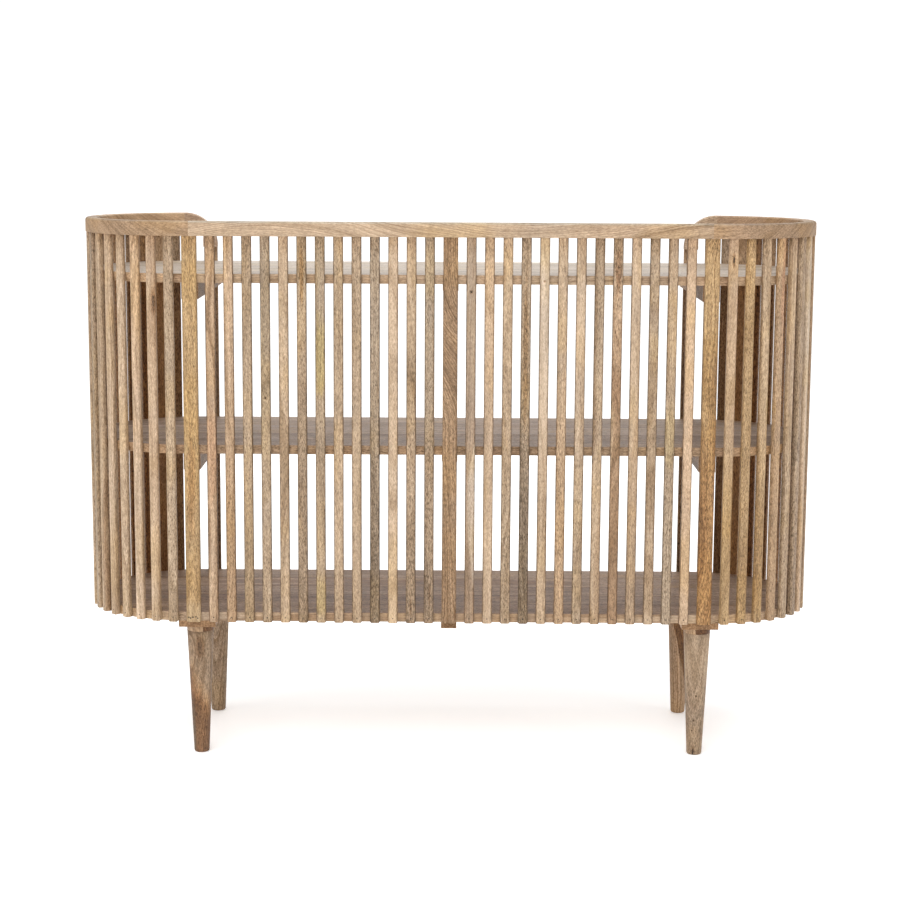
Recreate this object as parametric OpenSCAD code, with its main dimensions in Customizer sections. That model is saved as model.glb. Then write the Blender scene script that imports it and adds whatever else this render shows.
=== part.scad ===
// Open-backed slatted crib body on four turned legs, with three boards between its slats.
// Millimetres. X runs along the body, Y from front to back, Z up.
// The origin is on the floor, under the middle of the body. The slatted front faces -Y.

/* [Body] */
// Overall length, over the two round ends
body_length = 1250; // [1100:10:1400]
// Overall depth, front to back, which is also the diameter of the round ends
body_depth = 360; // [340:5:440]
// Height from the floor to the top of the rail
body_height = 910; // [860:5:1000]

/* [Top rail] */
// Height of the rail's section
rail_h = 24; // [20:1:30]
// Thickness of the rail's section, from outside to inside
rail_t = 20; // [18:1:30]
// Rounding of the rail's outer top edge
rail_outer_round = 5; // [2:0.5:8]
// Rounding of the rail's inner top edge
rail_inner_round = 3; // [1:0.5:6]
// Radius of the knee blocks that turn the rail down into the back posts
knee_radius = 58; // [40:1:70]
// Rounding of a knee block's inside corner
knee_inner_round = 8; // [4:1:12]
// Straight reach of a knee block before its bend, and below it
knee_reach = 3; // [2:1:8]

/* [Slats and posts] */
// Width of a slat's face
slat_w = 16.4; // [14:0.2:20]
// Thickness of the slats and the posts
slat_t = 10; // [9:0.5:14]
// Gap wanted between slats, which is then evened out
slat_gap = 14; // [10:0.2:18]
// Rounding of the outer edges of the slats and the posts
slat_face_round = 4.5; // [1:0.5:5]
// Rounding of their inner edges
slat_back_round = 3.5; // [0.5:0.5:4]
// Rounding of the slats' bottom corners
slat_foot_round = 2.5; // [1:0.5:5]
// How far the rail's face stands proud of the slats' faces
face_reveal = 1; // [0.5:0.5:3]
// Width of the posts
post_w = 24.4; // [20:0.4:30]
// Distance of the front side posts' centres in from the start of the round ends
front_post_inset = 16.4; // [0:0.2:26]
// Distance of the back posts' centres in from the start of the round ends
back_post_inset = 11.8; // [0:0.2:24]

/* [Boards] */
// Thickness of the boards
board_t = 15; // [12:1:20]
// Number of planks glued side by side in each board
plank_count = 5; // [3:1:7]
// Width of the glue line between two planks
plank_seam = 0.3; // [0.2:0.1:0.6]
// Clear height between the bottom board and the middle board
lower_bay_h = 270; // [230:5:290]
// Depth of the tray, from the rail's top down to the top board
tray_depth = 86; // [70:1:110]

/* [Battens] */
// Thickness of the flat battens under the boards' middles
batten_t = 11; // [8:1:16]
// Width of the flat battens
batten_w = 26; // [20:1:36]
// Height of the side battens, which stand on edge
side_batten_h = 27; // [18:1:34]
// Width of the side battens
side_batten_w = 28; // [20:1:32]

/* [Legs] */
// Height of the tapered part of a leg
leg_h = 215; // [180:5:240]
// Diameter of a leg at its top
leg_top_d = 45; // [38:1:52]
// Diameter of a leg at the floor
leg_foot_d = 26; // [20:1:34]
// Rounding of a leg's bottom edge
leg_foot_round = 3; // [1:0.5:5]
// Height of the collar between a leg and its rail
collar_h = 14; // [8:1:20]
// Width of the rails that carry the legs
leg_rail_w = 62; // [56:1:80]
// Thickness of the rails that carry the legs
leg_rail_t = 11; // [9:1:18]
// Distance of the legs' axes in from the start of the round ends
leg_inset = 21; // [0:1:60]
// Distance of the legs' axes from the body's front and back faces
leg_setback = 54; // [46:1:90]

/* [Joinery] */
// Diameter of the spigot turned on a leg's top
spigot_d = 22; // [16:1:26]
// Width of the posts' tenons
tenon_w = 12; // [8:1:16]
// Thickness of the posts' tenons
tenon_t = 6; // [4:1:8]
// Length of the posts' tenons
tenon_l = 14; // [8:1:16]
// Diameter of the dowels between the end rails and the knee blocks
dowel_d = 8; // [6:1:10]
// Length of the dowels
dowel_l = 40; // [24:2:50]
// Gap all round between a tenon, dowel or spigot and its hole
joint_fit = 0.15; // [0.1:0.05:0.3]

/* [Hidden] */
$fn = 96;

left = -1;
right = 1;
front = -1;
back = 1;

// Plan: two straight sides joined by half circles about (end_x, 0) and (-end_x, 0)
end_r = body_depth / 2;
end_x = body_length / 2 - end_r;
slat_face_r = end_r - face_reveal;
board_r = slat_face_r - slat_t;
rail_inner_r = end_r - rail_t;
rail_mid_r = end_r - rail_t / 2;

// Heights
leg_rail_z = leg_h + collar_h;
bottom_board_z = leg_rail_z + leg_rail_t;
middle_board_z = bottom_board_z + board_t + lower_bay_h;
top_board_z = body_height - tray_depth - board_t;
rail_z = body_height - rail_h;
knee_h = knee_radius + knee_reach;
knee_z = body_height - knee_h;
slat_l = rail_z - bottom_board_z;

// Places along the body
front_post_x = end_x - front_post_inset;
back_post_x = end_x - back_post_inset;
opening_x = back_post_x - post_w / 2;
knee_end_x = opening_x + knee_radius + knee_reach;
knee_angle = asin((knee_end_x - end_x) / end_r);
leg_x = end_x - leg_inset;
leg_y = end_r - leg_setback;

// Slats between the centre post and a front side post
front_run = front_post_x - post_w;
front_slats = round((front_run - slat_gap) / (slat_w + slat_gap));
front_gap = (front_run - front_slats * slat_w) / (front_slats + 1);

// Slats round an end, from the front side post to the back post, along the outer line
end_run = front_post_inset + PI * end_r + back_post_inset - post_w;
end_slats = round((end_run - slat_gap) / (slat_w + slat_gap));
end_gap = (end_run - end_slats * slat_w) / (end_slats + 1);

// Planks
plank_w = (2 * board_r - (plank_count - 1) * plank_seam) / plank_count;

mortise_l = tenon_l + joint_fit;
dowel_hole_l = dowel_l + 2 * joint_fit;
spigot_l = collar_h + leg_rail_t - joint_fit;
cut = 1;

rail_colour = [0.76, 0.62, 0.47];
slat_colour = [0.77, 0.63, 0.48];
post_colour = [0.74, 0.58, 0.38];
board_colour = [0.72, 0.61, 0.50];
batten_colour = [0.55, 0.42, 0.31];
leg_colour = [0.66, 0.54, 0.42];

// ---- Profiles ----

// Section of the rail, x outwards from 0 at the inner face, y up to 0 at the top
module rail_section(depth) {
    ro = rail_outer_round;
    ri = rail_inner_round;
    translate([0, -depth]) square([rail_t - ro, depth - ri]);
    translate([ri, -depth]) square([rail_t - ri - ro, depth]);
    translate([ri, -depth]) square([rail_t - ri, depth - ro]);
    translate([ri, -ri]) circle(ri);
    translate([rail_t - ro, -ro]) circle(ro);
}

// Plan of a slat or post, its outer face on y = 0 and its thickness towards +y
module bar_plan(w) {
    rf = slat_face_round;
    rb = slat_back_round;
    translate([-w / 2, rf]) square([w, slat_t - rf - rb]);
    translate([rf - w / 2, 0]) square([w - 2 * rf, slat_t - rb]);
    translate([rb - w / 2, rf]) square([w - 2 * rb, slat_t - rf]);
    for (side = [left, right]) {
        translate([side * (w / 2 - rf), rf]) circle(rf);
        translate([side * (w / 2 - rb), slat_t - rb]) circle(rb);
    }
}

// Front view of a slat or post, with its bottom corners rounded
module bar_front(w, l) {
    r = slat_foot_round;
    translate([-w / 2, r]) square([w, l - r]);
    translate([r - w / 2, 0]) square([w - 2 * r, r]);
    for (side = [left, right]) translate([side * (w / 2 - r), r]) circle(r);
}

// Upright slat or post, its foot at z = 0 and its outer face on y = 0
module bar(w, l) {
    intersection() {
        linear_extrude(l) bar_plan(w);
        translate([0, slat_t + cut, 0]) rotate([90, 0, 0]) linear_extrude(slat_t + 2 * cut) bar_front(w, l);
    }
}

// Outline of the boards
module board_plan() {
    square([2 * end_x, 2 * board_r], center = true);
    for (side = [left, right]) translate([side * end_x, 0]) circle(board_r);
}

// ---- Placing ----

// Copies its child from the right-hand side to the left-hand side
module at_side(side) {
    mirror([side == left ? 1 : 0, 0, 0]) children();
}

// Stands its child on the outer line of the right-hand end, s past the front side post's centre
module on_end(s) {
    turn = (s - front_post_inset) / end_r * 180 / PI;
    if (turn < 0) translate([front_post_x + s, -slat_face_r, 0]) children();
    else if (turn > 180) translate([end_x - (turn - 180) * end_r * PI / 180, slat_face_r, 0])
        rotate([0, 0, 180]) children();
    else translate([end_x, 0, 0]) rotate([0, 0, turn]) translate([0, -slat_face_r, 0]) children();
}

// ---- Joinery ----

// Tenon on top of a post, or the mortise for it when grown by the joint's clearance
module tenon(grow, l) {
    translate([-tenon_w / 2 - grow, slat_t / 2 - tenon_t / 2 - grow, -grow])
        cube([tenon_w + 2 * grow, tenon_t + 2 * grow, l + grow]);
}

// Dowel across the joint between an end rail and its knee block, on the right-hand side
module dowel(d, l) {
    translate([end_x, 0, body_height - rail_h / 2])
        rotate([0, 0, -knee_angle])
        translate([-l / 2, rail_mid_r, 0])
        rotate([0, 90, 0])
        cylinder(d = d, h = l);
}

// ---- Rail ----

module front_rail() {
    color(rail_colour) difference() {
        translate([-front_post_x, -rail_inner_r, body_height])
            rotate([90, 0, 90])
            mirror([1, 0, 0])
            linear_extrude(2 * front_post_x) rail_section(rail_h);
        for (side = [left, 0, right])
            translate([side * front_post_x, -slat_face_r, rail_z]) tenon(joint_fit, mortise_l);
    }
}

// Rail of one end, from over the front side post round to the knee block
module end_rail(side) {
    color(rail_colour) at_side(side) difference() {
        union() {
            translate([front_post_x, -rail_inner_r, body_height])
                rotate([90, 0, 90])
                mirror([1, 0, 0])
                linear_extrude(front_post_inset) rail_section(rail_h);
            translate([end_x, 0, body_height])
                rotate([0, 0, -90])
                rotate_extrude(angle = 180 - knee_angle)
                translate([rail_inner_r, 0]) rail_section(rail_h);
        }
        translate([front_post_x, -slat_face_r, rail_z]) tenon(joint_fit, mortise_l);
        dowel(dowel_d + 2 * joint_fit, dowel_hole_l);
    }
}

module left_end_rail() end_rail(left);
module right_end_rail() end_rail(right);

// Side view of a knee block, x along the body and y up
module knee_side() {
    inner_x = opening_x + post_w;
    reach_x = end_x + end_r;
    intersection() {
        union() {
            translate([opening_x, knee_z]) square([post_w, knee_h]);
            translate([opening_x, rail_z]) square([reach_x - opening_x, rail_h]);
            difference() {
                translate([inner_x, rail_z - knee_inner_round]) square(knee_inner_round);
                translate([inner_x + knee_inner_round, rail_z - knee_inner_round]) circle(knee_inner_round);
            }
        }
        union() {
            translate([opening_x + knee_radius, body_height - knee_radius]) circle(knee_radius);
            translate([opening_x, knee_z]) square([reach_x - opening_x, knee_reach]);
            translate([opening_x + knee_radius, knee_z]) square([reach_x - opening_x, knee_h]);
        }
    }
}

// Block that turns the rail down into a back post
module knee(side) {
    color(rail_colour) at_side(side) difference() {
        intersection() {
            union() {
                translate([opening_x, rail_inner_r, body_height])
                    rotate([90, 0, 90])
                    linear_extrude(end_x - opening_x) rail_section(knee_h);
                translate([end_x, 0, body_height])
                    mirror([1, 0, 0])
                    rotate([0, 0, 90])
                    rotate_extrude(angle = knee_angle)
                    translate([rail_inner_r, 0]) rail_section(knee_h);
            }
            translate([0, end_r + cut, 0]) rotate([90, 0, 0]) linear_extrude(body_depth) knee_side();
        }
        translate([back_post_x, slat_face_r, knee_z]) rotate([0, 0, 180]) tenon(joint_fit, mortise_l);
        dowel(dowel_d + 2 * joint_fit, dowel_hole_l);
    }
}

module left_knee() knee(left);
module right_knee() knee(right);

module rail_dowels() {
    color(batten_colour) for (side = [left, right]) at_side(side) dowel(dowel_d, dowel_l);
}

// ---- Posts ----

module front_post(x) {
    color(post_colour) translate([x, -slat_face_r, bottom_board_z]) {
        bar(post_w, slat_l);
        translate([0, 0, slat_l]) tenon(0, tenon_l);
    }
}

module centre_post() front_post(0);
module left_front_post() front_post(-front_post_x);
module right_front_post() front_post(front_post_x);

module back_post(side) {
    color(post_colour) translate([side * back_post_x, slat_face_r, bottom_board_z]) rotate([0, 0, 180]) {
        bar(post_w, knee_z - bottom_board_z);
        translate([0, 0, knee_z - bottom_board_z]) tenon(0, tenon_l);
    }
}

module left_back_post() back_post(left);
module right_back_post() back_post(right);

// ---- Slats ----

module front_slats(side) {
    color(slat_colour) for (i = [1 : front_slats]) {
        x = post_w / 2 - slat_w / 2 + i * (slat_w + front_gap);
        translate([side * x, -slat_face_r, bottom_board_z]) bar(slat_w, slat_l);
    }
}

module end_slats(side) {
    color(slat_colour) at_side(side) for (i = [1 : end_slats]) {
        s = post_w / 2 - slat_w / 2 + i * (slat_w + end_gap);
        translate([0, 0, bottom_board_z]) on_end(s) bar(slat_w, slat_l);
    }
}

module front_left_slats() front_slats(left);
module front_right_slats() front_slats(right);
module left_end_slats() end_slats(left);
module right_end_slats() end_slats(right);

// ---- Boards ----

// Board of planks glued side by side, with its underside at z
module board(z) {
    color(board_colour) translate([0, 0, z]) for (i = [0 : plank_count - 1]) {
        plank_y = i * (plank_w + plank_seam) - board_r;
        linear_extrude(board_t) intersection() {
            board_plan();
            translate([-body_length / 2, plank_y]) square([body_length, plank_w]);
        }
    }
}

module top_board() board(top_board_z);
module middle_board() board(middle_board_z);
module bottom_board() board(bottom_board_z);

// ---- Battens ----

// Flat batten under the middle of the board whose underside is at z
module centre_batten(z) {
    color(batten_colour) translate([-batten_w / 2, -board_r, z - batten_t])
        cube([batten_w, 2 * board_r, batten_t]);
}

module top_centre_batten() centre_batten(top_board_z);
module middle_centre_batten() centre_batten(middle_board_z);
module bottom_centre_batten() centre_batten(bottom_board_z);

// Batten on edge, from a front side post to the back post behind it
module side_batten(side, z) {
    color(batten_colour) translate([side * front_post_x - side_batten_w / 2, -board_r, z - side_batten_h])
        cube([side_batten_w, 2 * board_r, side_batten_h]);
}

module top_left_batten() side_batten(left, top_board_z);
module top_right_batten() side_batten(right, top_board_z);
module middle_left_batten() side_batten(left, middle_board_z);
module middle_right_batten() side_batten(right, middle_board_z);

// ---- Legs ----

module leg_rail(side) {
    color(batten_colour) translate([side * leg_x, 0, leg_rail_z]) difference() {
        translate([-leg_rail_w / 2, -board_r, 0]) cube([leg_rail_w, 2 * board_r, leg_rail_t]);
        for (end = [front, back])
            translate([0, end * leg_y, -cut]) cylinder(d = spigot_d + 2 * joint_fit, h = leg_rail_t + 2 * cut);
    }
}

module left_leg_rail() leg_rail(left);
module right_leg_rail() leg_rail(right);

// Ring between a leg and its rail
module collar(side, end) {
    color(leg_colour) translate([side * leg_x, end * leg_y, leg_h]) difference() {
        cylinder(d = leg_top_d, h = collar_h);
        translate([0, 0, -cut]) cylinder(d = spigot_d + 2 * joint_fit, h = collar_h + 2 * cut);
    }
}

module front_left_collar() collar(left, front);
module front_right_collar() collar(right, front);
module back_left_collar() collar(left, back);
module back_right_collar() collar(right, back);

// Turned leg: a straight taper with a rounded foot, and a spigot on top
module leg(side, end) {
    foot_r = leg_foot_d / 2;
    flat_r = foot_r - leg_foot_round;
    color(leg_colour) translate([side * leg_x, end * leg_y, 0]) rotate_extrude() {
        square([flat_r, leg_foot_round]);
        translate([flat_r, leg_foot_round]) circle(leg_foot_round);
        polygon([[0, leg_foot_round], [foot_r, leg_foot_round], [leg_top_d / 2, leg_h], [0, leg_h]]);
        translate([0, leg_h - cut]) square([spigot_d / 2, spigot_l + cut]);
    }
}

module front_left_leg() leg(left, front);
module front_right_leg() leg(right, front);
module back_left_leg() leg(left, back);
module back_right_leg() leg(right, back);

front_rail();
left_end_rail();
right_end_rail();
left_knee();
right_knee();
centre_post();
left_front_post();
right_front_post();
left_back_post();
right_back_post();
front_left_slats();
front_right_slats();
left_end_slats();
right_end_slats();
top_board();
middle_board();
bottom_board();
top_centre_batten();
middle_centre_batten();
bottom_centre_batten();
top_left_batten();
top_right_batten();
middle_left_batten();
middle_right_batten();
left_leg_rail();
right_leg_rail();
front_left_collar();
front_right_collar();
back_left_collar();
back_right_collar();
front_left_leg();
front_right_leg();
back_left_leg();
back_right_leg();
rail_dowels();
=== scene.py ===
import math

import bpy
from mathutils import Matrix, Vector


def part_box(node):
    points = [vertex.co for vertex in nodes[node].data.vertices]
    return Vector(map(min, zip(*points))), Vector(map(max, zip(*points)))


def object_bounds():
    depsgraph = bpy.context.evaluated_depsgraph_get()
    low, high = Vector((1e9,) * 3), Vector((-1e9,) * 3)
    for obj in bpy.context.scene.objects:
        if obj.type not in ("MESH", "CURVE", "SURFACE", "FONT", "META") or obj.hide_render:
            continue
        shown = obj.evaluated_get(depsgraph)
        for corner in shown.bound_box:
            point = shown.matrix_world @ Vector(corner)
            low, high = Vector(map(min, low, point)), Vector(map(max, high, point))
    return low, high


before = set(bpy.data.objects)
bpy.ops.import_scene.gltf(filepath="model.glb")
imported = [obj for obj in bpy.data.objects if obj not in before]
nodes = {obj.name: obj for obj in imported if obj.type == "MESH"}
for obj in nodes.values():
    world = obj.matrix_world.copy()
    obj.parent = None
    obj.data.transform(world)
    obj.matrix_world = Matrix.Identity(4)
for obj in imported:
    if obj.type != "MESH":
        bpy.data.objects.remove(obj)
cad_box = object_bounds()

scene = bpy.context.scene
scene.view_settings.view_transform = "Standard"

# ---- Sizes of the body, in metres, from the frame ----

# Slats in one half of the front and round one end, and planks in a board
FRONT_SLATS = 13
END_SLATS = 18
PLANKS = 5


def length(value):
    """A length to a hundredth of a millimetre."""
    return round(value, 5)


def middle_of(name):
    """The middle of a CAD node's box."""
    low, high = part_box(name)
    return [length(place) for place in (low + high) / 2]


def top_of(name):
    """The height of a CAD node's top."""
    return length(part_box(name)[1].z)


def slat_spacing():
    """The slats' pitch along the front, and how much further than a slat a post reaches to each side."""
    first, last = (corner.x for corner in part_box("front_right_slats"))
    post_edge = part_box("centre_post")[1].x
    gap = first - post_edge
    pitch = length((last - first + gap) / FRONT_SLATS)
    return pitch, length(post_edge - (pitch - gap) / 2)


# The radius of the round ends, where the straight front meets them, and the radius of the boards' ends
END_R = length(cad_box[1].y)
END_X = length(cad_box[1].x - END_R)
BOARD_R = length(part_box("top_board")[1].y)
# The plane of the front, which the marks on it are placed by
FACE_Y = -END_R
# The posts at the ends of the front and of the back stand a little way in from the round ends
FRONT_POST_X = middle_of("right_front_post")[0]
FRONT_POST_INSET = length(END_X - FRONT_POST_X)
BACK_POST_INSET = length(END_X - middle_of("right_back_post")[0])
SLAT_PITCH, POST_EXTRA = slat_spacing()
# The way round an end from post to post. The pitch there, and where its slats are counted from, are turns
# about the end's middle
END_RUN = FRONT_POST_INSET + math.pi * END_R + BACK_POST_INSET
END_PITCH = length((END_RUN - 2 * POST_EXTRA) / (END_SLATS + 1)) / END_R
END_START = (POST_EXTRA - FRONT_POST_INSET) / END_R
# Heights of the boards' tops and of the nails in the bottom board's edge
TOP_Z, MIDDLE_Z, BOTTOM_Z = top_of("top_board"), top_of("middle_board"), top_of("bottom_board")
NAIL_Z = BOTTOM_Z - 0.007
# The width of a plank with the gap beside it
PLANK_GAP = 0.0003
PLANK = length((2 * BOARD_R + PLANK_GAP) / PLANKS)
# The middle of a leg, to one side and to the front or back
LEG_X, LEG_Y, _ = middle_of("back_right_collar")

# ---- Sizes of the finish ----

# Heights between which an upright's tone changes, and over which painted shade deepens it under the rail
TONE_CHANGE = (0.50, 0.92)
SHADE_UNDER_RAIL = (0.845, 0.885)
# The narrow round on every sharp edge, and how close two points are joined
EDGE_ROUND = 0.0007
JOIN_DISTANCE = 0.000005

# Directions of the grain
ALONG_X, ALONG_Y, ALONG_Z = (1, 0, 0), (0, 1, 0), (0, 0, 1)


# ---- Camera ----


def add_camera():
    """Camera a little above the rail, looking slightly down at the front: its axes are the look direction
    and the level direction turned by a small roll."""
    pitch, roll, yaw = math.radians(9.0), math.radians(0.333), math.radians(0.037)
    ahead = Vector((math.sin(yaw) * math.cos(pitch), math.cos(yaw) * math.cos(pitch), -math.sin(pitch)))
    level = Vector((math.cos(yaw), -math.sin(yaw), 0))
    up = level.cross(ahead)
    right = math.cos(roll) * level + math.sin(roll) * up
    above = -math.sin(roll) * level + math.cos(roll) * up
    data = bpy.data.cameras.new("front_view")
    data.sensor_width = 36
    data.lens = 80.54
    data.clip_start, data.clip_end = 0.1, 200
    camera = bpy.data.objects.new("front_view", data)
    turn = Matrix((right, above, -ahead)).transposed().to_4x4()
    camera.matrix_world = Matrix.Translation((-0.00162, -3.47525, 1.05726)) @ turn
    scene.collection.objects.link(camera)
    scene.camera = camera


# ---- Writing materials ----


def shown(*levels):
    """A colour as it is seen, 0 to 255, turned into the linear colour that a shader takes."""
    parts = [level / 255 for level in levels]
    return (*[c / 12.92 if c <= 0.04045 else ((c + 0.055) / 1.055) ** 2.4 for c in parts], 1.0)


class Recipe:
    """Writes a node tree step by step. Each call adds a node and gives its output."""

    def __init__(self, tree):
        self.tree = tree

    def add(self, kind, settings=None, **inputs):
        """A shader node with its settings and what goes into its inputs."""
        made = self.tree.nodes.new("ShaderNode" + kind)
        for key, value in (settings or {}).items():
            setattr(made, key, value)
        for key, value in inputs.items():
            self.join(value, made.inputs[key])
        return made

    def join(self, value, socket):
        """Links another node's output to the socket, or sets a plain value on it."""
        if isinstance(value, bpy.types.NodeSocket):
            self.tree.links.new(value, socket)
        elif value is not None:
            socket.default_value = value

    def math(self, operation, *values, clamp=False):
        made = self.add("Math", {"operation": operation, "use_clamp": clamp})
        for value, socket in zip(values, made.inputs):
            self.join(value, socket)
        return made.outputs[0]

    def vector(self, operation, *values):
        made = self.add("VectorMath", {"operation": operation})
        for value, socket in zip(values, made.inputs):
            self.join(value, socket)
        return made.outputs["Value" if operation in ("DOT_PRODUCT", "LENGTH") else "Vector"]

    def split(self, vector):
        return self.add("SeparateXYZ", Vector=vector).outputs

    def point(self, x, y, z):
        return self.add("CombineXYZ", X=x, Y=y, Z=z).outputs[0]

    def distance(self, x, y):
        """How far the point x, y is from zero."""
        return self.math("SQRT", self.math("MULTIPLY_ADD", x, x, self.math("MULTIPLY", y, y)))

    def normal(self):
        return self.add("NewGeometry").outputs["Normal"]

    def noise(self, vector, stretch, detail=2.0, roughness=0.5):
        """Noise of about one lump per unit after the vector is stretched by three numbers per metre."""
        scaled = self.vector("MULTIPLY", vector, stretch)
        made = self.add("TexNoise", Vector=scaled, Scale=1.0, Detail=detail, Roughness=roughness)
        return made.outputs["Fac"]

    def cloud(self, vector, stretch):
        """Three slow noises at once, each between -0.5 and 0.5."""
        scaled = self.vector("MULTIPLY", vector, stretch)
        made = self.add("TexNoise", Vector=scaled, Scale=1.0, Detail=1.0)
        return self.vector("SUBTRACT", made.outputs["Color"], (0.5, 0.5, 0.5))

    def chance(self, number):
        """Three random numbers from 0 to 1 for each number."""
        return self.add("TexWhiteNoise", {"noise_dimensions": "1D"}, W=number).outputs["Color"]

    def step(self, value, low, high, to_low=0.0, to_high=1.0):
        """Smooth step from low to high."""
        made = self.add("MapRange", {"interpolation_type": "SMOOTHSTEP"})
        for socket, number in zip(made.inputs, (value, low, high, to_low, to_high)):
            self.join(number, socket)
        return made.outputs[0]

    def ramp(self, value, colours, places=None, plain=False):
        """The colour for a value from 0 to 1. A plain ramp jumps from one colour to the next."""
        made = self.add("ValToRGB", Fac=value)
        band = made.color_ramp
        band.interpolation = "CONSTANT" if plain else "LINEAR"
        if places is None:
            places = [i / len(colours) for i in range(len(colours))]
        while len(band.elements) < len(colours):
            band.elements.new(0.5)
        while len(band.elements) > len(colours):
            band.elements.remove(band.elements[-1])
        for element, place, colour in zip(band.elements, places, colours):
            element.position = place
            element.color = colour
        return made.outputs["Color"]

    def mix(self, factor, one, two, blend="MIX"):
        """Two colours mixed. A Mix node has sockets for every kind of value, and these are for colours."""
        made = self.add("Mix", {"data_type": "RGBA", "blend_type": blend})
        factor_in, one_in, two_in, result = made.inputs[0], made.inputs[6], made.inputs[7], made.outputs[2]
        self.join(factor, factor_in)
        self.join(one, one_in)
        self.join(two, two_in)
        return result

    def tint(self, factor, colour, tint):
        """The colour multiplied by a tint, as far as the factor says."""
        return self.mix(factor, colour, tint, "MULTIPLY")

    def shade(self, factor, colour, value, dark, light, places):
        """The colour tinted dark where the value is low and light where it is high."""
        return self.tint(factor, colour, self.ramp(value, [dark, (1.0, 1.0, 1.0, 1), light], places))


# ---- Wood ----

TONES = {
    "cream": shown(198, 178, 155),
    "pale": shown(192, 168, 142),
    "peach": shown(189, 162, 134),
    "fawn": shown(184, 160, 133),
    "tan": shown(174, 152, 127),
    "grey": shown(171, 152, 130),
    "brown": shown(159, 137, 113),
    "dark": shown(143, 125, 105),
    "golden": shown(182, 152, 111),
    "rose": shown(180, 151, 120),
    "olive": shown(174, 145, 107),
    "orange": shown(170, 132, 88),
    "umber": shown(157, 129, 100),
    "auburn": shown(161, 133, 104),
    "russet": shown(131, 97, 68),
    "chestnut": shown(150, 116, 80),
}

RINGS_PER_METRE = 290.0

# Tints of the parts of the figure, and the colours of a knot, a nail and a board's underside
LATE_WOOD = (0.60, 0.52, 0.42, 1)
PORE = (0.45, 0.38, 0.30, 1)
CUT_PORE = (0.55, 0.48, 0.40, 1)
GOLD_PATCH = (1.03, 0.99, 0.86, 1)
GREY_PATCH = (0.88, 0.89, 0.92, 1)
HEARTWOOD = (0.56, 0.45, 0.34, 1)
SEAM = (0.55, 0.48, 0.42, 1)
KNOT_RIM = (0.62, 0.48, 0.34, 1)
KNOT = (0.035, 0.022, 0.014, 1)
NAIL = (0.03, 0.024, 0.02, 1)
UNDERSIDE = shown(170, 145, 122)


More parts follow.
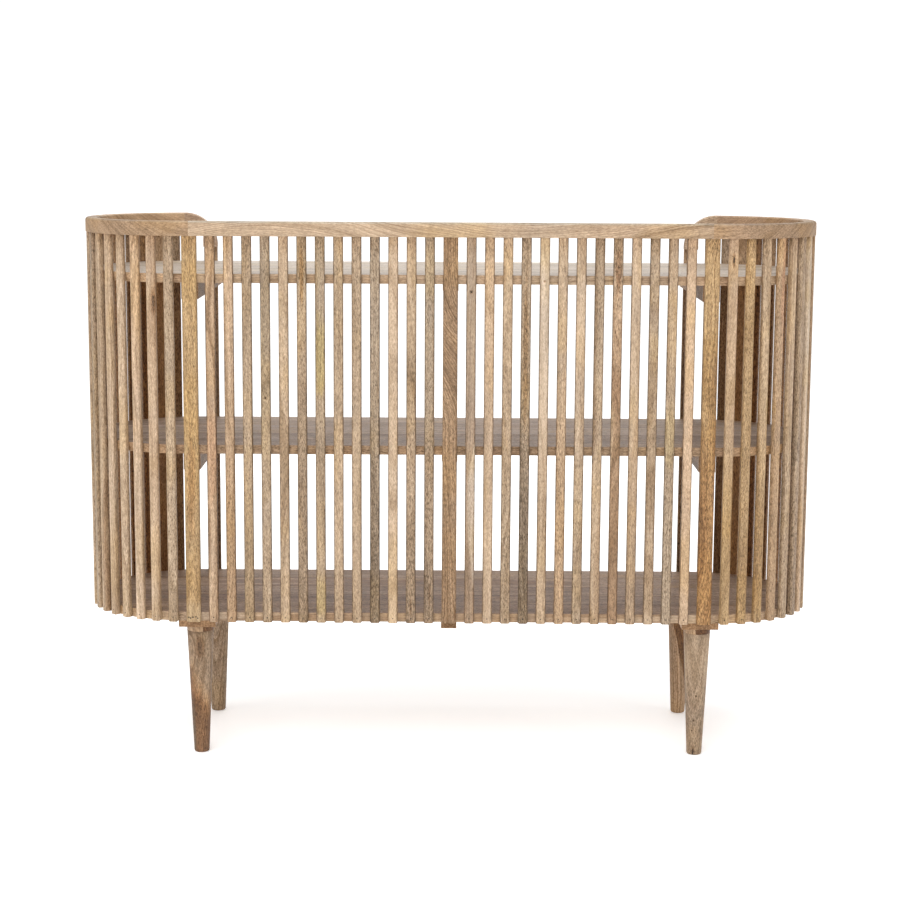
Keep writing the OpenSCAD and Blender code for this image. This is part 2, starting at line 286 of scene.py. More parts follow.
def wood_group():
    """The figure of the wood in a member's own place: x across it, y into it and z along its grain. The
    distance from the heart of the tree, with the grain leaning and swaying slowly, cuts it into growth
    rings. Each ring darkens to its late wood and then starts again pale, and some rings are stronger than
    others. Bands and fine lines are noises of that same distance. Speckle and short pores are noises
    stretched along the grain, ripples run across it, and slow patches turn the tone to gold or to grey.
    Grit scales the speckle and the pores, and Streak sets how much of the wood is dark heartwood."""
    tree = bpy.data.node_groups.new("wood_figure", "ShaderNodeTree")
    for side, sockets in (
            ("INPUT", {"Place": "Vector", "Jump": "Vector", "Heart": "Vector", "Tone": "Color",
                       "Figure": "Float", "Grit": "Float", "Streak": "Float", "End": "Float"}),
            ("OUTPUT", {"Color": "Color", "Roughness": "Float", "Height": "Float"})):
        for name, kind in sockets.items():
            tree.interface.new_socket(name, in_out=side, socket_type="NodeSocket" + kind)
    r = Recipe(tree)
    given = tree.nodes.new("NodeGroupInput").outputs
    result = tree.nodes.new("NodeGroupOutput").inputs
    tone, figure, end = given["Tone"], given["Figure"], given["End"]
    own = r.vector("ADD", given["Place"], given["Jump"])

    # How far from the heart each point is
    x, y, z = r.split(given["Place"])
    slow_x, slow_y, _ = r.split(r.cloud(own, (7, 7, 3.2)))
    fast_x, _, _ = r.split(r.cloud(own, (55, 55, 14)))
    heart_x, heart_y, lean = r.split(given["Heart"])
    x = r.math("MULTIPLY_ADD", z, lean, x)
    x = r.math("MULTIPLY_ADD", r.math("MULTIPLY", slow_x, figure), 0.05, x)
    x = r.math("MULTIPLY_ADD", fast_x, 0.004, x)
    y = r.math("MULTIPLY_ADD", slow_y, 0.03, y)
    far = r.distance(r.math("SUBTRACT", x, heart_x), r.math("SUBTRACT", y, heart_y))
    ring = r.vector("ADD", r.point(far, z, 0.0), given["Jump"])

    # What follows the rings
    bands = r.noise(ring, (140, 2.2, 1), 3.0, 0.6)
    lines = r.noise(ring, (720, 8, 1), 2.0, 0.6)
    heartwood = r.noise(ring, (50, 1.7, 1), 2.0)
    wobble = r.noise(ring, (60, 1.6, 1), 1.0)
    count = r.math("MULTIPLY_ADD", wobble, 3.0, r.math("MULTIPLY", far, RINGS_PER_METRE))
    late = r.step(r.math("FRACT", count), 0.40, 0.97)
    strong = r.math("MULTIPLY_ADD", r.split(r.chance(r.math("FLOOR", count)))[0], 0.8, 0.2)

    # What lies in the wood by itself
    speckle = r.noise(own, (720, 720, 210), 2.0, 0.7)
    blotch = r.noise(own, (380, 380, 105), 1.0)
    pits = r.step(r.noise(own, (1300, 1300, 170), 1.0), 0.58, 0.67)
    ripple = r.noise(own, (28, 28, 140), 1.0)
    gold = r.noise(own, (16, 16, 8), 2.0)
    grey = r.noise(r.vector("ADD", own, (3.1, 7.7, 1.3)), (22, 22, 11), 2.0)

    # Colour along the grain. Pale wood shows less speckle
    pale = r.add("RGBToBW", Color=tone).outputs[0]
    coarse = r.math("MULTIPLY", r.step(pale, 0.20, 0.46, 1.0, 0.42), given["Grit"], clamp=True)
    late = r.math("MULTIPLY", r.math("MULTIPLY", late, strong), r.math("MULTIPLY", figure, 0.75))
    streaks = r.math("MULTIPLY", r.step(heartwood, 0.50, 0.58), given["Streak"], clamp=True)
    colour = r.shade(1.0, tone, bands, (0.74, 0.70, 0.64, 1), (1.13, 1.13, 1.14, 1), (0.32, 0.52, 0.72))
    colour = r.tint(late, colour, LATE_WOOD)
    for factor, value, dark, light, places in (
            (figure, lines, (0.74, 0.70, 0.65, 1), (1.10, 1.10, 1.10, 1), (0.32, 0.50, 0.70)),
            (coarse, speckle, (0.24, 0.20, 0.15, 1), (1.40, 1.40, 1.41, 1), (0.32, 0.51, 0.70)),
            (coarse, blotch, (0.68, 0.64, 0.58, 1), (1.14, 1.14, 1.15, 1), (0.32, 0.51, 0.70)),
            (figure, ripple, (0.95, 0.94, 0.93, 1), (1.03, 1.03, 1.03, 1), (0.30, 0.50, 0.70))):
        colour = r.shade(factor, colour, value, dark, light, places)
    colour = r.tint(r.math("MULTIPLY", pits, coarse), colour, PORE)
    colour = r.tint(r.step(gold, 0.48, 0.68), colour, GOLD_PATCH)
    colour = r.tint(r.step(grey, 0.50, 0.70), colour, GREY_PATCH)
    colour = r.tint(streaks, colour, HEARTWOOD)

    # Colour where the grain is cut across
    rings = r.noise(own, (260, 260, 2), 2.0, 0.6)
    dots = r.noise(own, (1500, 1500, 40), 1.0)
    cut = r.tint(1.0, tone, r.ramp(rings, [(0.42, 0.34, 0.27, 1), (0.72, 0.66, 0.60, 1)], (0.38, 0.60)))
    cut = r.tint(r.step(dots, 0.56, 0.66), cut, CUT_PORE)
    r.join(r.mix(end, colour, cut), result["Color"])

    rough = r.math("MULTIPLY_ADD", lines, 0.22, 0.46)
    rough = r.math("MULTIPLY_ADD", pits, 0.18, rough, clamp=True)
    r.join(r.math("MULTIPLY_ADD", end, 0.15, rough, clamp=True), result["Roughness"])
    height = r.math("MULTIPLY_ADD", lines, 0.5, r.math("MULTIPLY", bands, 0.4))
    height = r.math("MULTIPLY_ADD", speckle, 0.4, height)
    r.join(r.math("MULTIPLY_ADD", pits, -0.6, height), result["Height"])
    return tree


WOOD = wood_group()


def finish_wood(name, build):
    """A wood material. build gets the recipe and the object coordinates, and gives back what the figure
    needs."""
    material = bpy.data.materials.new(name)
    material.use_nodes = True
    tree = material.node_tree
    tree.nodes.clear()
    r = Recipe(tree)
    at = tree.nodes.new("ShaderNodeTexCoord").outputs["Object"]
    wood = tree.nodes.new("ShaderNodeGroup")
    wood.node_tree = WOOD
    for key, value in build(r, at).items():
        r.join(value, wood.inputs[key])
    shader = r.add("BsdfPrincipled")
    r.join(wood.outputs["Color"], shader.inputs["Base Color"])
    r.join(wood.outputs["Roughness"], shader.inputs["Roughness"])
    shader.inputs["Specular IOR Level"].default_value = 0.35
    bump = r.add("Bump", Height=wood.outputs["Height"])
    bump.inputs["Strength"].default_value = 0.5
    bump.inputs["Distance"].default_value = 0.0005
    r.join(bump.outputs["Normal"], shader.inputs["Normal"])
    output = tree.nodes.new("ShaderNodeOutputMaterial")
    r.join(shader.outputs["BSDF"], output.inputs["Surface"])
    return material


def end_share(r, grain):
    """1 where the surface faces along the grain, 0 where it runs beside it."""
    return r.step(r.math("ABSOLUTE", r.vector("DOT_PRODUCT", r.normal(), grain)), 0.75, 0.9)


def member(r, place, number, tone, end, figure=(0.35, 1.1), streak=(-0.4, 0.7), grit=1.0,
           heart=((-0.06, 0.02, -0.03), (0.12, 0.09, 0.06))):
    """All that the figure needs for one stick of wood. Its number draws its own jump through the noises,
    its own heart, and how strong its figure and its streaks are, each within a range. The heart's range is
    its least place and how far it goes from there."""
    jump = r.vector("MULTIPLY", r.chance(number), (7, 7, 7))
    middle = r.vector("ADD", r.vector("MULTIPLY", r.chance(r.math("ADD", number, 0.21)), heart[1]), heart[0])
    luck, share, _ = r.split(r.chance(r.math("ADD", number, 0.37)))
    return {"Place": place, "Jump": jump, "Heart": middle, "Tone": tone, "End": end, "Grit": grit,
            "Figure": r.math("MULTIPLY_ADD", luck, figure[1] - figure[0], figure[0]),
            "Streak": r.math("MULTIPLY_ADD", share, streak[1] - streak[0], streak[0])}


def upright_tone(r, at, level, high, low):
    """Tone of upright members: one tone at the top and another at the bottom, blended half way up, and a
    painted shade close under the rail, darker and warmer where the rail's overhang shades the tops, with some
    stain at the joint."""
    wander = r.math("MULTIPLY_ADD", r.noise(at, (40, 40, 6), 1.0), 0.3, level)
    tone = r.mix(r.step(wander, *TONE_CHANGE), low, high)
    # Painted shade close under the rail, where its overhang shades the tops, with some stain at the joint
    return r.tint(r.step(level, *SHADE_UNDER_RAIL, 0.0, 0.8), tone, (0.84, 0.77, 0.68, 1))


def row_tone(r, at, level, high, low, number, count):
    """Tone of a row of slats, named in two lists of words: one for their tops and one for their feet."""
    share = r.math("DIVIDE", r.math("SUBTRACT", number, 0.5), count)
    top = r.ramp(share, [TONES[word] for word in high.split()], plain=True)
    foot = r.ramp(share, [TONES[word] for word in low.split()], plain=True)
    return upright_tone(r, at, level, top, foot)


def blemish(r, at, tone, middle, size, tall, deep=1.0):
    """A knot or a dark crack: a lump that is dark inside its size and brown for a little way round it. A
    shallow one is only a stain."""
    away = r.vector("SUBTRACT", at, middle)
    away = r.vector("MULTIPLY", away, (1 / size, 1 / size, 1 / (size * tall)))
    wave = r.vector("ADD", away, r.vector("MULTIPLY", r.cloud(at, (300, 300, 120)), (0.9, 0.9, 0.9)))
    far = r.vector("LENGTH", wave)
    tone = r.tint(r.step(far, 1.0, 2.2, 0.75, 0.0), tone, KNOT_RIM)
    return r.mix(r.step(far, 0.7, 1.1, deep, 0.0), tone, KNOT)


def stain(r, at, tone, middle, size, tint):
    """A soft patch of another tint: an ellipsoid given by its half sizes."""
    away = r.vector("MULTIPLY", r.vector("SUBTRACT", at, middle), tuple(1 / half for half in size))
    away = r.vector("ADD", away, r.vector("MULTIPLY", r.cloud(at, (200, 200, 40)), (0.8, 0.8, 0.8)))
    return r.tint(r.step(r.vector("LENGTH", away), 0.5, 1.2, 1.0, 0.0), tone, tint)


def with_knots(r, at, tone, knots):
    """The tone with its knots, each given by its middle, its size, how tall it is for its size, and perhaps
    how deep its dark is."""
    for knot in knots:
        tone = blemish(r, at, tone, *knot)
    return tone


def with_stains(r, at, tone, stains):
    """The tone with its stains, each given by its middle, its half sizes and its tint."""
    for patch in stains:
        tone = stain(r, at, tone, *patch)
    return tone


def corner_shade(r, tone, across, tint):
    """The tone of a slat, with painted shade on its round corners and sides, where they turn away from the
    light.
    """
    return r.tint(r.step(r.math("ABSOLUTE", across), 0.0060, 0.0080, 0.0, 1.0), tone, tint)


def pin(r, tone, across, level, height, size=0.0011):
    """The small dark head of a nail."""
    far = r.distance(across, r.math("SUBTRACT", level, height))
    return r.mix(r.step(far, size * 0.7, size * 1.2, 0.9, 0.0), tone, NAIL)


def front_slat_wood(name, high, low, seed, knots=(), stains=()):
    """Slats in a row: the member is the distance from the middle in whole pitches."""

    def build(r, at):
        x, y, z = r.split(at)
        run = r.math("DIVIDE", r.math("SUBTRACT", r.math("ABSOLUTE", x), POST_EXTRA), SLAT_PITCH)
        number = r.math("FLOOR", r.math("ADD", run, 0.5))
        across = r.math("MULTIPLY", r.math("SUBTRACT", run, number), SLAT_PITCH)
        tone = row_tone(r, at, z, high, low, number, FRONT_SLATS)
        tone = with_knots(r, at, tone, knots)
        # Painted shade on the front slats' round corners and sides, and a nail head
        tone = pin(r, corner_shade(r, tone, across, (0.54, 0.50, 0.45, 1)), across, z, NAIL_Z)
        tone = with_stains(r, at, tone, stains)
        place = r.point(across, r.math("ADD", y, END_R), z)
        return member(r, place, r.math("ADD", number, seed), tone, end_share(r, ALONG_Z))

    return finish_wood(name, build)


def end_slat_wood(name, side, high, low, seed, knots=(), stains=()):
    """Slats round an end: the member is the turn about the end's middle in whole pitches. The faces of those
    behind that look into the crib get a painted warm bounce light below the top board, where they stand in
    shade."""

    def build(r, at):
        x, y, z = r.split(at)
        out = r.math("MULTIPLY_ADD", x, side, -END_X)
        turn = r.math("ARCTAN2", out, r.math("MULTIPLY", y, -1.0))
        run = r.math("DIVIDE", r.math("SUBTRACT", turn, END_START), END_PITCH)
        number = r.math("FLOOR", r.math("ADD", run, 0.5))
        across = r.math("MULTIPLY", r.math("SUBTRACT", run, number), END_PITCH * END_R)
        far = r.distance(out, y)
        tone = row_tone(r, at, z, high, low, number, END_SLATS)
        tone = with_stains(r, at, with_knots(r, at, tone, knots), stains)
        # Painted bounce light: the faces of the slats behind, below the top board, turned warmer
        warm_bounce = r.math("MULTIPLY", r.step(y, 0.0, 0.05), r.step(z, TOP_Z - 0.024, TOP_Z + 0.006, 1.0, 0.0))
        warm_bounce = r.math("MULTIPLY", warm_bounce, r.step(far, END_R - 0.009, END_R - 0.005, 1.0, 0.0))
        tone = r.tint(warm_bounce, tone, (1.12, 0.94, 0.70, 1))
        # A faint painted shade on the end slats' round corners, and a nail head
        tone = pin(r, corner_shade(r, tone, across, (0.96, 0.94, 0.91, 1)), across, z, NAIL_Z)
        place = r.point(across, r.math("SUBTRACT", END_R, far), z)
        return member(r, place, r.math("ADD", number, seed), tone, end_share(r, ALONG_Z))

    return finish_wood(name, build)


def post_wood(name, middle, high, low, seed, figure=0.8, streak=0.1, swirl=0.0, grit=1.0, pins=(), stains=()):
    """An upright post about its own middle. A swirl leans the grain over in the upper half of the post.
    Each pin is given by its place across the post and its height."""

    def build(r, at):
        x, y, z = r.split(r.vector("SUBTRACT", at, (middle[0], middle[1], 0.0)))
        tone = upright_tone(r, at, z, TONES[high], TONES[low])
        tone = with_stains(r, at, tone, stains)
        for across, height in pins:
            tone = pin(r, tone, r.math("SUBTRACT", x, across), z, height, 0.0014)
        if swirl:
            x = r.math("MULTIPLY_ADD", r.step(z, 0.56, 0.82), swirl, x)
        made = member(r, r.point(x, y, z), seed, tone, end_share(r, ALONG_Z), grit=grit)
        made["Figure"], made["Streak"] = figure, streak
        return made

    return finish_wood(name, build)


def leg_wood(name, middle, high, low, seed, figure=1.2, streak=0.3, dark=None, slant=0.0, change=(0.05, 0.12),
             knots=(), stains=()):
    """A turned leg or its collar about its own middle. The tone changes from high to low over a range of
    heights, aslant by so much for each metre across. Dark darkens the part on the right: where it starts
    across the leg at the top, how far it moves for each metre down, and its tint."""

    def build(r, at):
        x, y, z = r.split(r.vector("SUBTRACT", at, (middle[0], middle[1], 0.0)))
        wave = r.split(r.cloud(at, (50, 50, 12)))[0]
        level = r.math("MULTIPLY_ADD", x, slant, z)
        level = r.math("MULTIPLY_ADD", wave, 0.05, level)
        tone = r.mix(r.step(level, change[0], change[1]), TONES[low], TONES[high])
        if dark:
            start, move, tint = dark
            edge = r.math("MULTIPLY_ADD", r.math("SUBTRACT", 0.2, z), -move, x)
            edge = r.math("MULTIPLY_ADD", wave, 0.008, edge)
            tone = r.tint(r.step(edge, start, start + 0.0025), tone, tint)
        tone = with_knots(r, at, with_stains(r, at, tone, stains), knots)
        made = member(r, r.point(x, y, z), seed, tone, end_share(r, ALONG_Z), grit=0.75)
        made["Figure"], made["Streak"] = figure, streak
        return made

    return finish_wood(name, build)


def lying_wood(name, tone, seed, grain=ALONG_X, figure=0.8, heart=(0.05, -0.10, 0.0), flow=0.0, grit=1.0,
               ends=True, knots=(), stains=(), back=None, top_sheen=None):
    """A rail or batten that lies along x or along y. A bent rail is sawn from straight stock, so its rings
    are cut aslant round the bend. Flow is how far the grain of a long rail waves up and down, as a sine of
    its length. Back is the tone of its back half, lighter as painted light for the face behind that looks
    forward, and the tint for the upper face is a painted sheen."""

    def build(r, at):
        x, y, z = r.split(at)
        # Painted light: the back half takes a lighter tone, for the face behind that looks forward
        colour = r.mix(r.step(y, -0.06, 0.06), tone, back) if back else tone
        # Painted sheen: the upper face tinted paler
        if top_sheen:
            colour = r.tint(r.step(r.split(r.normal())[2], 0.3, 0.7), colour, top_sheen)
        colour = with_stains(r, at, with_knots(r, at, colour, knots), stains)
        if flow:
            z = r.math("MULTIPLY_ADD", r.math("SINE", r.math("MULTIPLY_ADD", x, 7.0, 0.6)), flow, z)
        place = r.point(z, y, x) if grain == ALONG_X else r.point(z, x, y)
        made = member(r, place, seed, colour, end_share(r, grain) if ends else 0.0, grit=grit)
        made["Heart"], made["Figure"], made["Streak"] = heart, figure, 0.0
        return made

    return finish_wood(name, build)


def board_wood(name, level, seed, top, front, edge, streak, front_shade):
    """A board of planks: the member is the place across the board in whole planks, with a dark line at each
    seam. Its long front edge has a lighter tone of its own, painted light where the slats in front shade it,
    and its planks get a painted shade that darkens them towards the front."""

    def build(r, at):
        x, y, z = r.split(at)
        run = r.math("DIVIDE", r.math("ADD", y, BOARD_R), PLANK)
        number = r.math("FLOOR", run)
        across = r.math("MULTIPLY", r.math("SUBTRACT", r.math("SUBTRACT", run, number), 0.5), PLANK)
        own = r.math("ADD", number, seed)
        upward = r.split(r.normal())[2]

        luck = r.split(r.chance(r.math("ADD", own, 0.5)))[0]
        flat = r.tint(1.0, top, r.ramp(luck, [(0.92, 0.91, 0.90, 1), (1.04, 1.04, 1.04, 1)], (0.0, 1.0)))
        # Painted shade: the planks darker towards the front
        flat = r.tint(r.step(number, 4.0, 0.0, 0.0, front_shade), flat, (0.80, 0.77, 0.75, 1))

        straight = r.step(r.math("ABSOLUTE", x), END_X - 0.02, END_X + 0.02, 1.0, 0.0)
        # Painted light: the straight front edge, in the slats' shade, takes its own lighter tone
        rim = r.mix(r.math("MULTIPLY", straight, r.step(y, -0.12, -0.10, 1.0, 0.0)), edge, front)
        rim = r.tint(r.step(r.noise(at, (9, 4, 4), 1.0), 0.35, 0.65), rim, (1.04, 0.96, 0.87, 1))

        tone = r.mix(r.step(upward, 0.4, 0.8), rim, flat)
        tone = r.mix(r.step(upward, -0.4, -0.8), tone, UNDERSIDE)
        seam = r.step(r.math("ABSOLUTE", across), PLANK / 2 - 0.0016, PLANK / 2 - 0.0004)
        tone = r.tint(r.math("MULTIPLY", seam, 0.75), tone, SEAM)
        place = r.point(across, r.math("SUBTRACT", level, z), x)
        return member(r, place, own, tone, end_share(r, ALONG_X), figure=(0.5, 1.0), streak=streak,
                      grit=0.8, heart=((-0.03, 0.03, -0.02), (0.06, 0.05, 0.04)))

    return finish_wood(name, build)


# ---- Dressing the pieces ----


def dress(name, material):
    """Gives a CAD node its finish and eases its sharp edges: doubled points are joined, and each sharp edge
    gets a narrow round."""
    node = nodes[name]
    for slot in node.material_slots:
        slot.material = material
    weld = node.modifiers.new("join", "WELD")
    weld.merge_threshold = JOIN_DISTANCE
    ease = node.modifiers.new("ease", "BEVEL")
    ease.width = EDGE_ROUND
    ease.segments = 2
    ease.limit_method = "ANGLE"
    ease.angle_limit = math.radians(50)
    ease.harden_normals = False


def dress_slats():
    dress("front_left_slats", front_slat_wood(
        "front_left_slat_wood",
        "grey fawn pale grey tan tan grey tan fawn grey tan peach peach",
        "brown brown pale dark fawn fawn tan brown fawn tan tan rose peach",
        10,
        knots=[((-0.305, FACE_Y, 0.620), 0.0016, 1.3),
               ((-0.0322, FACE_Y, 0.290), 0.0011, 14.0, 0.75),
               ((-0.064, FACE_Y, 0.268), 0.0012, 9.0, 0.8)],
        stains=[((-0.214, FACE_Y, 0.690), (0.012, 0.03, 0.075), (1.06, 1.06, 0.72, 1)),
                ((-0.214, FACE_Y, 0.285), (0.012, 0.03, 0.040), (1.03, 1.03, 0.80, 1)),
                ((-0.244, FACE_Y, 0.820), (0.004, 0.03, 0.060), (0.80, 0.66, 0.46, 1)),
                ((-0.394, FACE_Y, 0.520), (0.012, 0.03, 0.090), (1.02, 0.92, 0.86, 1))]))
    dress("front_right_slats", front_slat_wood(
        "front_right_slat_wood",
        "cream peach fawn tan cream fawn pale tan tan pale tan fawn peach",
        "pale pale tan dark fawn rose tan fawn peach fawn fawn grey peach",
        40,
        knots=[((0.034, FACE_Y, 0.797), 0.0020, 1.1), ((0.154, FACE_Y, 0.815), 0.0013, 1.2)],
        stains=[((0.034, FACE_Y, 0.56), (0.012, 0.03, 0.5), (0.92, 0.97, 1.06, 1)),
                ((0.2744, FACE_Y, 0.835), (0.006, 0.03, 0.045), (0.70, 0.58, 0.48, 1)),
                ((0.2744, FACE_Y, 0.700), (0.012, 0.03, 0.120), (1.04, 0.95, 0.88, 1)),
                ((0.364, FACE_Y, 0.560), (0.012, 0.03, 0.060), (1.03, 1.02, 0.84, 1)),
                ((0.124, FACE_Y, 0.700), (0.005, 0.03, 0.140), (0.78, 0.68, 0.54, 1))]))
    dress("left_end_slats", end_slat_wood(
        "left_end_slat_wood", -1,
        "tan peach peach pale pale fawn brown fawn chestnut "
        "chestnut umber chestnut chestnut umber chestnut rose brown tan",
        "tan pale pale fawn pale fawn tan tan umber "
        "chestnut chestnut umber chestnut chestnut chestnut rose brown tan",
        70,
        knots=[((-0.4880, -0.1745, 0.778), 0.0030, 4.5, 0.62)]))
    dress("right_end_slats", end_slat_wood(
        "right_end_slat_wood", 1,
        "peach olive fawn rose pale tan cream fawn chestnut "
        "chestnut umber chestnut chestnut umber chestnut rose brown tan",
        "golden olive golden rose tan brown peach tan chestnut "
        "chestnut umber chestnut chestnut umber chestnut rose brown tan",
        100,
        knots=[((0.463, -0.179, 0.851), 0.0019, 4.5)],
        stains=[((0.556, -0.142, 0.80), (0.012, 0.012, 0.11), (1.05, 0.92, 0.90, 1)),
                ((0.534, -0.156, 0.60), (0.010, 0.012, 0.07), (1.06, 1.00, 0.70, 1))]))


def dress_posts():
    dress("centre_post", post_wood(
        "centre_post_wood", (0, FACE_Y), "auburn", "auburn", 1.7,
        figure=1.9, streak=0.1, swirl=0.10, grit=0.75))
    dress("left_front_post", post_wood(
        "left_front_post_wood", (-FRONT_POST_X, FACE_Y), "golden", "golden", 3.1,
        figure=0.7, streak=0.0,
        pins=[(-0.008, 0.2482), (-0.005, 0.2470), (-0.001, 0.2484), (0.004, 0.2490), (0.007, 0.2466)],
        stains=[((-FRONT_POST_X, FACE_Y, 0.250), (0.04, 0.05, 0.026), (1.10, 1.18, 1.36, 1)),
                ((-FRONT_POST_X, FACE_Y, 0.480), (0.008, 0.03, 0.100), (1.02, 0.93, 0.84, 1))]))
    dress("right_front_post", post_wood(
        "right_front_post_wood", (FRONT_POST_X, FACE_Y), "golden", "orange", 5.3,
        figure=1.5, streak=0.55))
    back_post = post_wood("back_post_wood", (0, END_R), "rose", "umber", 7.9)
    dress("left_back_post", back_post)
    dress("right_back_post", back_post)


def dress_rails():
    # The upper-face tints are a painted sheen on the rails, and the end rails' lighter back tones are painted
    # light
    end_top_sheen = (1.06, 1.14, 1.24, 1)
    end_heart = (0.79, -0.02, 0.0)
    knee_heart = (0.80, -0.05, 0.0)
    dress("front_rail", lying_wood(
        "front_rail_wood", shown(187, 163, 137), 2.3,
        figure=1.1, heart=(0.75, -0.20, 0.0), flow=0.028, grit=0.65, top_sheen=(1.07, 1.22, 1.38, 1),
        stains=[((0.36, FACE_Y, 0.90), (0.16, 0.05, 0.05), (0.93, 0.90, 0.87, 1))]))
    dress("left_end_rail", lying_wood(
        "left_end_rail_wood", shown(163, 135, 106), 4.9,
        figure=0.6, heart=end_heart, grit=0.55, ends=False, back=shown(196, 164, 131), top_sheen=end_top_sheen,
        knots=[((-0.451, 0.161, 0.890), 0.004, 1.2)],
        stains=[((-END_X, FACE_Y, 0.90), (0.07, 0.05, 0.05), (1.16, 1.17, 1.18, 1))]))
    dress("right_end_rail", lying_wood(
        "right_end_rail_wood", shown(155, 128, 101), 5.7,
        figure=0.6, heart=end_heart, grit=0.55, ends=False, back=shown(180, 149, 119), top_sheen=end_top_sheen,
        stains=[((END_X, FACE_Y, 0.90), (0.05, 0.05, 0.05), (1.10, 1.10, 1.10, 1))]))
    dress("left_knee", lying_wood(
        "left_knee_wood", shown(203, 176, 153), 6.1, figure=0.9, heart=knee_heart))
    dress("right_knee", lying_wood(
        "right_knee_wood", shown(190, 165, 139), 6.7, figure=0.9, heart=knee_heart))


def dress_boards():
    # The front tones are painted light on the boards' straight front edges, and the planks' darkening towards
    # the front is painted shade
    dress("top_board", board_wood(
        "top_board_wood", TOP_Z, 200,
        top=shown(194, 181, 167), front=shown(226, 205, 180), edge=shown(184, 158, 129),
        streak=(0.0, 0.3), front_shade=0.2))
    dress("middle_board", board_wood(
        "middle_board_wood", MIDDLE_Z, 220,
        top=shown(195, 171, 150), front=shown(204, 179, 150), edge=shown(178, 150, 120),
        streak=(0.0, 0.5), front_shade=1.0))
    dress("bottom_board", board_wood(
        "bottom_board_wood", BOTTOM_Z, 240,
        top=shown(190, 160, 134), front=shown(236, 216, 191), edge=shown(186, 160, 132),
        streak=(0.2, 0.8), front_shade=1.0))
    batten_heart = (0.76, 0.06, 0.0)
    side_batten = lying_wood("batten_wood", shown(182, 149, 114), 8.3, ALONG_Y, heart=batten_heart)
    middle_batten = lying_wood("middle_batten_wood", shown(164, 132, 98), 8.9, ALONG_Y, heart=batten_heart)
    for name in ("top_left_batten", "top_right_batten", "middle_left_batten", "middle_right_batten",
                 "left_leg_rail", "right_leg_rail"):
        dress(name, side_batten)
    for name in ("top_centre_batten", "middle_centre_batten", "bottom_centre_batten"):
        dress(name, middle_batten)


def dress_leg(name, x, y, high, low, seed, collar_dark=None, **more):
    """A leg and the collar above it."""
    dress(name + "_leg", leg_wood(name + "_leg_wood", (x, y), high, low, seed, **more))
    dress(name + "_collar", leg_wood(
        name + "_collar_wood", (x, y), "rose", "rose", seed + 0.7, figure=0.8, streak=0.2, dark=collar_dark))


def dress_legs():
    dress_leg(
        "front_left", -LEG_X, -LEG_Y, "brown", "russet", 11.3,
        figure=1.6, streak=0.4, slant=1.8, change=(0.09, 0.15),
        collar_dark=(0.004, 0.0, (0.44, 0.32, 0.22, 1)),
        knots=[((-0.422, -0.148, 0.188), 0.0050, 2.6, 0.35), ((-0.440, -0.143, 0.150), 0.0016, 9.0, 0.4)],
        stains=[((-0.440, -0.144, 0.140), (0.011, 0.03, 0.030), (1.20, 1.20, 1.15, 1)),
                ((-0.431, -0.146, 0.121), (0.011, 0.03, 0.026), (1.31, 1.33, 1.29, 1)),
                ((-0.421, -0.147, 0.103), (0.011, 0.03, 0.024), (1.33, 1.35, 1.31, 1)),
                ((-0.411, -0.145, 0.084), (0.009, 0.03, 0.024), (1.25, 1.26, 1.23, 1)),
                ((-0.437, -0.144, 0.088), (0.010, 0.03, 0.026), (0.84, 0.80, 0.75, 1)),
                ((-0.437, -0.140, 0.030), (0.0055, 0.03, 0.060), (0.72, 0.92, 1.15, 1))])
    dress_leg(
        "front_right", LEG_X, -LEG_Y, "tan", "brown", 12.6,
        figure=0.7, streak=0.1, change=(0.10, 0.17),
        collar_dark=(-0.005, 0.0, (0.33, 0.22, 0.14, 1)),
        knots=[((0.4235, -0.1437, 0.106), 0.0013, 1.1), ((0.4205, -0.141, 0.062), 0.0009, 1.6),
               ((0.4180, -0.1397, 0.044), 0.0012, 1.1), ((0.4205, -0.1388, 0.006), 0.0013, 6.0)])
    dress_leg("back_left", -LEG_X, LEG_Y, "brown", "brown", 15.1, figure=1.4, streak=0.3)
    dress_leg(
        "back_right", LEG_X, LEG_Y, "rose", "rose", 17.7,
        figure=1.6, streak=0.2, change=(0.02, 0.10), dark=(-0.021, 0.22, (0.46, 0.34, 0.20, 1)))


# ---- Stage ----


def toward(place, aim):
    """The turn that points a light at its aim."""
    return (Vector(aim) - Vector(place)).to_track_quat("-Z", "Y").to_euler()


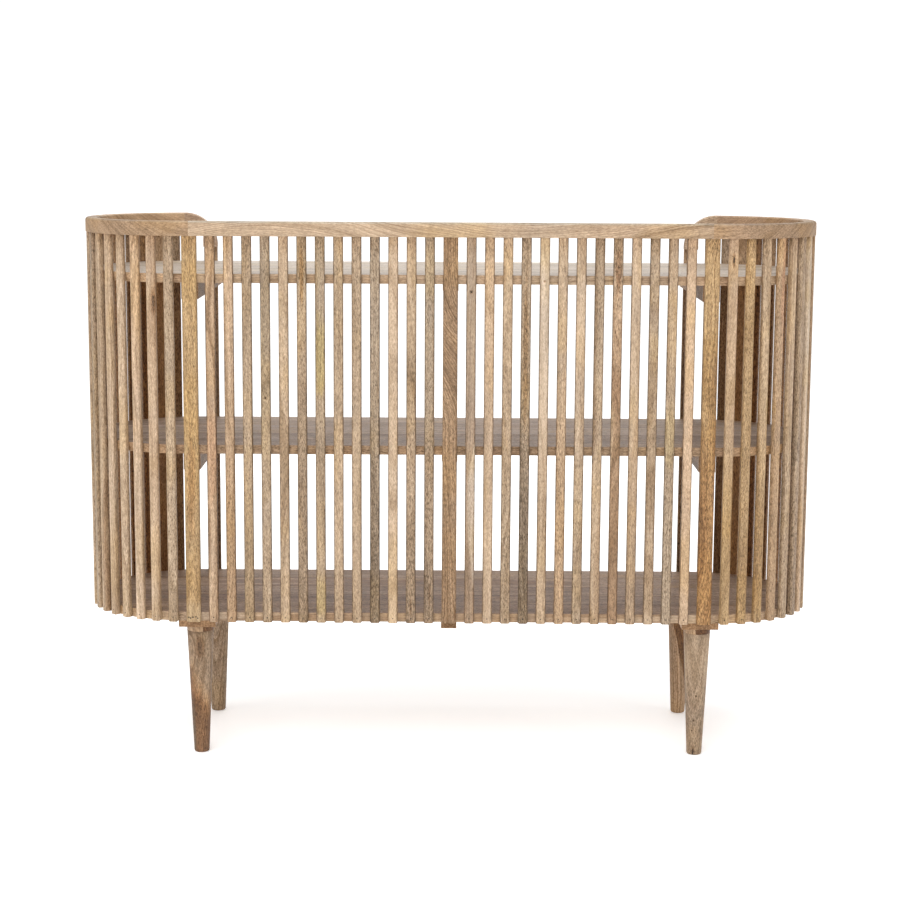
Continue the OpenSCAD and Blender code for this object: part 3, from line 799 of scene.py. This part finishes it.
def add_floor():
    """A pale floor just under the feet. It gives off a little light, so that it stays white far out."""
    half, level = 30.0, -0.0003
    corners = [(-half, -half, level), (half, -half, level), (-half, half, level), (half, half, level)]
    mesh = bpy.data.meshes.new("floor")
    mesh.from_pydata(corners, [], [(0, 1, 3, 2)])
    floor = bpy.data.objects.new("floor", mesh)
    scene.collection.objects.link(floor)
    paint = bpy.data.materials.new("pale_floor")
    paint.use_nodes = True
    shader = paint.node_tree.nodes["Principled BSDF"]
    shader.inputs["Base Color"].default_value = (0.95, 0.95, 0.95, 1)
    shader.inputs["Emission Color"].default_value = (1, 1, 1, 1)
    shader.inputs["Emission Strength"].default_value = 0.28
    shader.inputs["Roughness"].default_value = 0.9
    shader.inputs["Specular IOR Level"].default_value = 0.1
    mesh.materials.append(paint)


def add_softbox(name, place, aim, width, height, power):
    data = bpy.data.lights.new(name, "AREA")
    data.shape = "RECTANGLE"
    data.size, data.size_y = width, height
    data.energy = power
    light = bpy.data.objects.new(name, data)
    light.location = place
    light.rotation_euler = toward(place, aim)
    scene.collection.objects.link(light)


def add_skylight():
    """A very soft sun from the front and above."""
    data = bpy.data.lights.new("skylight", "SUN")
    data.energy = 2.2
    data.angle = math.radians(70)
    light = bpy.data.objects.new("skylight", data)
    light.rotation_euler = toward((-0.25, -0.8, 1.6), (0, 0, 0))
    scene.collection.objects.link(light)


def add_surround():
    """A surround that lights the crib more from behind than from the front, and is white to the camera."""
    world = bpy.data.worlds.new("surround")
    world.use_nodes = True
    tree = world.node_tree
    r = Recipe(tree)
    direction = tree.nodes.new("ShaderNodeTexCoord").outputs["Generated"]
    back = r.step(r.split(direction)[1], -0.3, 0.5, 0.22, 0.7)
    seen = tree.nodes.new("ShaderNodeLightPath").outputs["Is Camera Ray"]
    strength = r.math("MAXIMUM", back, r.math("MULTIPLY", seen, 1.05))
    r.join(strength, tree.nodes["Background"].inputs["Strength"])
    tree.nodes["Background"].inputs["Color"].default_value = (1, 1, 1, 1)
    scene.world = world


add_camera()
dress_slats()
dress_posts()
dress_rails()
dress_boards()
dress_legs()
dress("rail_dowels", lying_wood("dowel_wood", shown(180, 150, 118), 19.1))
add_floor()
add_softbox("key", (-1.2, -3.6, 3.4), (0, 0, 0.6), 2.6, 1.8, 36)
add_softbox("front", (0.3, -4.2, 1.2), (0, 0, 0.5), 3.2, 1.3, 24)
add_softbox("back_top", (0.0, 3.0, 2.4), (0, 0, 0.4), 2.6, 1.4, 34)
add_softbox("right_fill", (3.6, -1.6, 1.5), (0, 0, 0.6), 1.6, 1.6, 24)
add_softbox("left_fill", (-3.6, -1.6, 1.5), (0, 0, 0.6), 1.6, 1.6, 18)
add_skylight()
add_surround()
